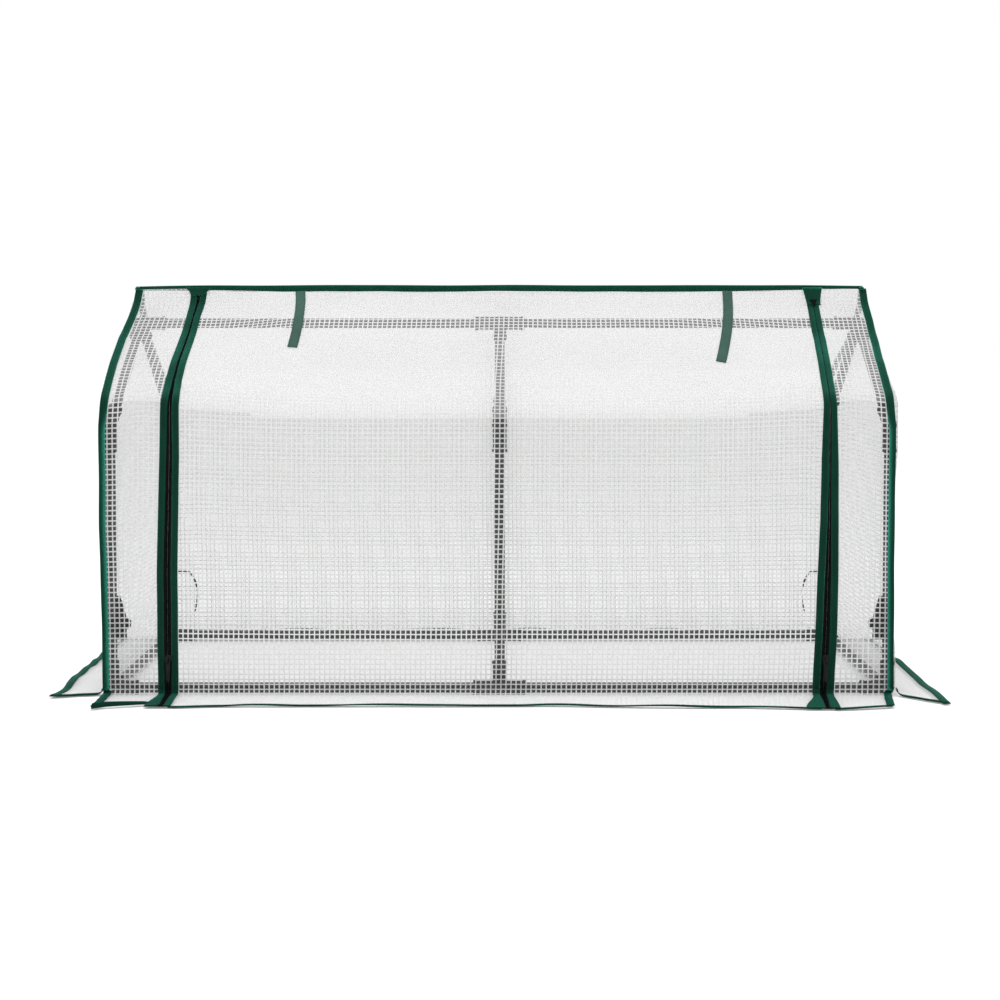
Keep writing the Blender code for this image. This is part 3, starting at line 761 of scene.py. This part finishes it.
def seam_binding(name, cloth, side, x_side, rows, ribbon):
    """Standing binding over the seam of a cloth with an end, at these rows."""
    seam = seam_x(side, rows)
    out = cloth.normal(seam - x_side * 0.005, rows)
    lean = np.interp(rows, LEAN_ROWS, BINDING_LEAN)
    inside = BINDING * np.cos(lean) - np.interp(rows, (0.40, 0.46), (0.0037, 0.0026))
    seed = 80 + x_side + 3 * cloth.y_side
    wave = ripple(rows * RIPPLE_LENGTH, 0 * rows, seed, 0.10, 0.35) * 0.0004
    root = cloth.at(seam - x_side * inside, rows) + out * 0.0014 + x_side * wave[:, None] * X
    lean = lean[:, None]
    aside = x_side * X * np.cos(lean) + out * np.sin(lean)
    up = out * np.cos(lean) - x_side * X * np.sin(lean)
    shape = Shape()
    sweep(shape, root, aside, up, tape_section(BINDING, BINDING_THICK, (False, True)))
    stitches(shape, root + aside * STITCH_IN + up * BINDING_THICK / 2, up)
    return shape.make_closed(name, [ribbon, green_yarn])


def build_gable_bindings():
    """Seams of front and rear cloth with the ends, from the ridge down and on over the flaps."""
    wall_rows, flap_rows = np.linspace(0, 1, 150), np.linspace(1, 2, 24)
    for face, cloth in (("front", front), ("rear", rear)):
        for side, x_side in SIDES:
            name = f"gable_{face}_{side}_binding"
            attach(seam_binding(name, cloth, side, x_side, wall_rows, binding), "root")
            name = f"flap_edge_{face}_{side}_binding"
            piece = seam_binding(name, cloth, side, x_side, flap_rows, flap_ribbon)
            hang_flap(piece)


HEM_TAPE_WIDTH, HEM_TAPE_THICK = 0.0105, 0.0010
ZIP_GAP = 0.010             # hem tapes stop this far from the middle of a zip


def hem_tape(name, cloth, left, right, tilt=(0.0, 0.0)):
    """Binding along a hem between two edges, turned up from the ground by an angle at each end."""
    x = np.linspace(left, right, max(int((right - left) / 0.006), 8))
    path = cloth.at(x, 2.0) + 0.0002 * Z
    back = unit(cloth.at(x, 1.86) - path)
    up = unit(np.cross(back, np.gradient(path, axis=0)))
    up *= np.sign(up[:, 2:])
    turn = np.interp(x, (left, right), tilt)[:, None]
    back, up = back * np.cos(turn) + up * np.sin(turn), up * np.cos(turn) - back * np.sin(turn)
    shape = Shape()
    bind_edge(shape, path, back, up, HEM_TAPE_WIDTH, HEM_TAPE_THICK)
    return shape.make_closed(name, [flap_ribbon, green_yarn])


def build_hems():
    left, right = zip_x("left", 2.0), zip_x("right", 2.0)
    left_seam, right_seam = seam_x("left", 2.0), seam_x("right", 2.0)
    door = hem_tape("door_flap_hem", front, left + ZIP_GAP, right - ZIP_GAP)
    hang_flap(door)
    tape = hem_tape("front_flap_left_hem", front, left_seam, left - ZIP_GAP, (0.75, 0.12))
    hang_flap(tape)
    tape = hem_tape("front_flap_right_hem", front, right + ZIP_GAP, right_seam)
    hang_flap(tape)
    hang_flap(hem_tape("rear_flap_hem", rear, left_seam, right_seam))


RIDGE_TAPE_HEIGHT, RIDGE_TAPE_THICK = 0.0107, 0.0030


def build_ridge_binding():
    """Folded tape that stands along the ridge, thinner and lower towards its ends."""
    reach = CLOTH_X - 0.0055
    x = np.linspace(-reach, reach, 260)
    sag, thin = np.where(x < 0, 0.0024, 0.0010), np.where(x < 0, 0.0072, 0.0054)
    top = RIDGE_TOP - sag * (x / CLOTH_X) ** 8 + 0.0003 * ripple(x, 0 * x, 92, 0.10, 0.4)
    ends = smooth_step((reach - np.abs(x)) / 0.20)
    height = thin + (RIDGE_TAPE_HEIGHT - thin) * ends + 0.0003 * ripple(x, 0 * x, 90, 0.06, 0.25)
    sway = 0.0008 * ripple(x, 0 * x, 91, 0.09, 0.30)
    path = np.stack([x, sway, top - height], axis=1)
    sections = np.stack([tape_section(h, RIDGE_TAPE_THICK, (False, True), 6) for h in height])
    shape = Shape()
    sweep(shape, path, Z, Y, sections)
    for y_side in (-1, 1):
        stitches(shape, path + y_side * RIDGE_TAPE_THICK / 2 * Y + 0.0030 * Z, y_side * Y)
    # the ridge tape takes the lighter green with painted top light
    piece = shape.make_closed("ridge_binding_tape", [ridge_ribbon_painted_light, green_yarn])
    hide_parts("ridge_binding")
    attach(piece, "root")
    for side, x_side in SIDES:
        build_corner_tab(side, x_side, RIDGE_TOP - 0.0024)


def build_corner_tab(side, x_side, top):
    """Folded-over lump of tape where ridge and gable bindings meet."""
    shape = Shape()
    angles = np.linspace(-0.9, 0.9, 9)
    path = np.stack([np.full(9, x_side * (CLOTH_X - 0.0105)), 0.0125 * np.sin(angles),
                     top - 0.0125 + 0.0115 * np.cos(angles)], axis=1)
    up = np.stack([np.zeros(9), np.sin(angles), np.cos(angles)], axis=1)
    sweep(shape, path, x_side * X, up, tape_section(0.0065, 0.0022))
    piece = shape.make_closed(f"ridge_corner_{side}_tab", [binding])
    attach(piece, "root")


# ---- zips
ZIP_LIFT = 0.0010           # of a zip above the cloth
TOOTH_SPACING = 0.0017
TAPE_SLOT, COIL_SLOT = 2, 3
ZIP_PATCH = {"left": (0.020, 0.0215, 0.0120), "right": (0.052, 0.0165, 0.0112)}   # length, half widths


def zip_strip(name, side, turn, first, last):
    """One half of a zip: its black tape with the coil, and the green tape beside it."""
    length = CLOTH_LENGTH * (min(last, 1) - min(first, 1)) + HEM_LENGTH * (max(last, 1) - max(first, 1))
    rows = np.linspace(first, last, int(length / 0.005) + 2)
    centre, half = zip_x(side, rows), np.interp(rows, ZIP_ROWS, ZIP_BLACK[side])
    width = np.interp(rows, (0.40, 0.52), ZIP_TAPE[side])
    up = front.normal(centre, rows)
    aside = turn * X
    base = front.at(centre, rows) + up * ZIP_LIFT
    inner = turn == (1 if side == "left" else -1)
    flare = ZIP_FLARE[side][inner] * smooth_step((rows - 1.2) / 0.8)
    shape = Shape()
    black = np.stack([tape_section(h + 0.002, 0.0008) for h in half])
    sweep(shape, base + aside * 0.0003, aside, up, black, TAPE_SLOT)
    green = np.stack([tape_section(w, BINDING_THICK) for w in width + flare])
    path = base + aside * half[:, None] + up * 0.0007
    sweep(shape, path, aside, up, green)
    for offset in (np.full(len(rows), 0.0018), width + flare - 0.0022):
        stitches(shape, path + aside * offset[:, None] + up * BINDING_THICK / 2, up)
    zip_teeth(shape, base, up, aside, turn)
    ribbon = binding if first < 1 else flap_ribbon
    return shape.make_closed(name, [ribbon, green_yarn, zip_tape, coil])


def zip_teeth(shape, base, up, aside, turn):
    """The half's turns of the coil, each a small arched block that reaches past the middle."""
    length = distances(base)
    wanted = spaced(length[-1], TOOTH_SPACING) + turn * 0.25 * TOOTH_SPACING
    line, lift = read_at(base, wanted, length), read_at(up, wanted, length)
    ahead = unit(np.gradient(line, axis=0))
    corners = []
    for across, height in ((-0.0004, 0.0002), (0.0002, 0.0013), (0.0016, 0.0013), (0.0024, 0.0002)):
        for end in (-1, 1):
            corners.append(line + aside * across + lift * height + ahead * end * 0.00032)
    add_blocks(shape, corners, ((0, 1, 3, 2), (2, 3, 5, 4), (4, 5, 7, 6), (0, 6, 7, 1), (0, 2, 4, 6),
                                (1, 7, 5, 3)), COIL_SLOT)


def build_zips():
    for side, x_side in SIDES:
        fixed = zip_strip(f"zip_{side}_fixed_half", side, x_side, 0, 1)
        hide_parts(f"zip_{side}")
        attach(fixed, "root")
        hang_flap(zip_strip(f"zip_{side}_fixed_foot", side, x_side, 1, 2))
        hang_door(zip_strip(f"zip_{side}_door_half", side, -x_side, ZIP_DOOR_TOP, 1))
        hang_flap(zip_strip(f"zip_{side}_door_foot", side, -x_side, 1, 2))
        build_zip_patch(side, x_side)
        build_zip_end(side, x_side)


def add_tape_corner(shape, side):
    """Black corner of zip tape that shows at the foot of the long patch."""
    rows = np.linspace(0.034, 0.056, 7)
    up = front.normal(zip_x(side, rows), rows)
    path = front.at(zip_x(side, rows) + 0.001, rows) + up * 0.0052
    halves = np.linspace(0.0062, 0.0012, 7)
    sweep(shape, path, X, up, np.stack([centred_section(2 * h, 0.0010) for h in halves]), TAPE_SLOT)


def build_zip_patch(side, x_side):
    """Green patch sewn over the upper end of a zip, under the ridge tape."""
    reach, half_top, half_foot = ZIP_PATCH[side]
    rows = np.linspace(0.0, reach, 9)
    shape = Shape()
    half = half_foot + (half_top - half_foot) * (1 - rows / reach) ** 1.6
    centre = zip_x(side, rows) + x_side * 0.001
    up = front.normal(centre, rows)
    path = front.at(centre, rows) + up * 0.0040
    sweep(shape, path, X, up, np.stack([centred_section(2 * h, 0.0014) for h in half]))
    for turn in (-1, 1):
        stitches(shape, path[1:] + turn * X * (half[1:, None] - 0.002) + up[1:] * 0.0007, up[1:])
    across = np.linspace(-half_foot, half_foot, 9) * 0.8
    line = front.at(centre[-1] + across, rows[-2]) + up[-2] * 0.0047
    stitches(shape, line, up[-2])
    if side == "right":
        add_tape_corner(shape, side)
    piece = shape.make_closed(f"zip_{side}_top_patch", [binding, green_yarn, zip_tape])
    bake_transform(piece)


def build_zip_end(side, x_side):
    """Loose black end of the zip tape, poking out past the hem."""
    steps = np.linspace(0, 1, 7)
    root = front.at(zip_x(side, 2.0) + x_side * 0.0030, 2.0)
    path = root + np.stack([x_side * 0.002 * steps, -0.0060 * steps + 0.006, 0.0024 - 0.0010 * steps], axis=1)
    shape = Shape()
    halves = np.linspace(0.0030, 0.0018, 7)
    sweep(shape, path, X, Z, np.stack([centred_section(2 * h, 0.0010) for h in halves]))
    piece = shape.make_closed(f"zip_{side}_tail", [zip_tape])
    hang_flap(piece)


# ---- straps and ties
# Each strap: x at its root, near its middle and at its end, and its length.
STRAPS = {"left": ((-0.3328, -0.3272, -0.3312), 0.157), "right": ((0.3800, 0.3715, 0.3500), 0.191)}
STRAP_WIDTH, STRAP_THICK = 0.0165, 0.0011


def build_straps():
    """Webbing straps that come out under the ridge tape and lie down the roof of the door."""
    for side, (xs, reach) in STRAPS.items():
        steps = np.linspace(0, 1, 60)
        rows = 0.004 + steps * (reach / CLOTH_LENGTH - 0.004)
        x = np.polyval(np.polyfit((0, 0.45, 1), xs, 2), steps)
        up = front.normal(x, rows)
        path = front.at(x, rows) + up * (0.0018 + 0.0010 * np.sin(steps * pi)[:, None])
        aside = np.cross(unit(np.gradient(path, axis=0)), up)
        shape = Shape()
        sweep(shape, path, aside, up, centred_section(STRAP_WIDTH, STRAP_THICK))
        for turn in (1, -1):
            stitches(shape, path + turn * aside * 0.0069 + up * 0.0006, up)
        piece = shape.make_closed(f"strap_{side}_webbing", [strap_web, strap_web])
        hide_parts(f"tie_strap_{side}")
        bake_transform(piece)


# Outline of a front tie's tail: height above the tie, and reach from the middle of the post.
TIE_HEIGHTS = (-0.024, -0.008, -0.004, 0.006, 0.0085, 0.016, 0.044)
TIE_REACHES = (0.0250, 0.0240, 0.0310, 0.0310, 0.0235, 0.0225, 0.0150)


def tie_ring(shape, centre, z, height=0.020):
    """Loop of tape round a post."""
    angles = np.linspace(0, 2 * pi, 33)
    out = np.stack([np.cos(angles), np.sin(angles), 0 * angles], axis=1)
    path = centre + out * (POST_R + 0.0010) + (z - height / 2) * Z
    sweep(shape, path, Z, out, tape_section(height, 0.0010))


def build_front_ties():
    """Tapes that tie the cover to the front posts, with a bunched tail seen through the net."""
    for side, x_side in SIDES:
        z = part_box(f"post_tie_{side}")[1].z - TIE_HEIGHTS[-1]
        shape = Shape()
        centre = np.array([x_side * END_X, -DEPTH_Y, 0])
        tie_ring(shape, centre, z)
        inner = 0.0075
        heights = np.linspace(TIE_HEIGHTS[0], TIE_HEIGHTS[-1], 40)
        widths = np.interp(heights, TIE_HEIGHTS, TIE_REACHES) - inner
        wave = 0.0016 * np.sin(heights * 130)
        path = centre + np.stack([np.full(40, -x_side * inner), wave - 0.0050, z + heights], axis=1)
        sweep(shape, path, -x_side * X, Y, np.stack([tape_section(w, 0.0012) for w in widths]))
        piece = shape.make_closed(f"post_tie_{side}_tape", [tie_tape])
        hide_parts(f"post_tie_{side}")
        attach(piece, "root")


REAR_TIE_Z = 0.127
# A rear tie's tail: distance in from the middle of the post, and height.
REAR_TIE = ((0.010, 0.127), (0.019, 0.1275), (0.0350, 0.1265), (0.0440, 0.1110), (0.0490, 0.092),
            (0.0475, 0.072), (0.0440, 0.055))


def build_rear_ties():
    """Drooping tails of the ties round the rear posts."""
    for side, x_side in SIDES:
        points = soften(resample(np.array(REAR_TIE), 60), 4)
        path = np.stack([x_side * (END_X - points[:, 0]), np.full(60, DEPTH_Y - 0.002), points[:, 1]], axis=1)
        shape = Shape()
        tie_ring(shape, np.array([x_side * END_X, DEPTH_Y, 0]), REAR_TIE_Z, 0.012)
        up = np.cross(unit(np.gradient(path, axis=0)), Y)
        sweep(shape, path, Y, up, centred_section(0.010, 0.0012))
        piece = shape.make_closed(f"rear_tie_{side}_tape", [tie_tape])
        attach(piece, "root")


# ---- studio
CAMERA_AT, CAMERA_PITCH, CAMERA_LENS, CAMERA_SHIFT = (0.0005, -2.7058, 0.5434), 87.5, 58.1, -0.0865
# Softboxes: name, place, turn in degrees, size and power.
SOFTBOXES = (("softbox_top", (0, -0.5, 2.6), (12, 0, 0), 3.0, 40),
             ("softbox_front", (-1.2, -2.6, 1.8), (58, 0, -25), 1.6, 6))


def build_studio():
    scene = bpy.context.scene
    scene.view_settings.view_transform = "Standard"
    world = bpy.data.worlds.new("studio")
    scene.world = world
    world.use_nodes = True
    background = world.node_tree.nodes["Background"]
    background.inputs["Color"].default_value = (1, 1, 1, 1)
    background.inputs["Strength"].default_value = 1.0

    work = bmesh.new()
    bmesh.ops.create_grid(work, x_segments=8, y_segments=8, size=30)
    mesh = bpy.data.meshes.new("studio_floor")
    work.to_mesh(mesh)
    work.free()
    mesh.materials.append(new_material("studio_paper", (0.90, 0.90, 0.90), 0.9, Emission_Color=(1, 1, 1, 1),
                                       Emission_Strength=0.16))
    floor = put("studio_floor", mesh)

    for name, place, turn, size, power in SOFTBOXES:
        light = bpy.data.lights.new(name, "AREA")
        light.size = size
        light.energy = power
        lamp = put(name, light)
        lamp.location = place
        lamp.rotation_euler = [radians(angle) for angle in turn]


def build_camera():
    """Straight on from the front, a little above the ridge, tilted slightly down."""
    data = bpy.data.cameras.new("camera")
    data.lens = CAMERA_LENS
    data.shift_y = CAMERA_SHIFT
    camera = put("camera", data)
    camera.location = CAMERA_AT
    camera.rotation_euler = (radians(CAMERA_PITCH), 0, 0)
    bpy.context.scene.camera = camera


build_camera()
build_studio()
dress_frame()
build_ridge_binding()
build_gable_bindings()
build_hems()
build_front_cover()
build_rear_cover()
build_end_covers()
build_zips()
build_straps()
build_front_ties()
build_rear_ties()
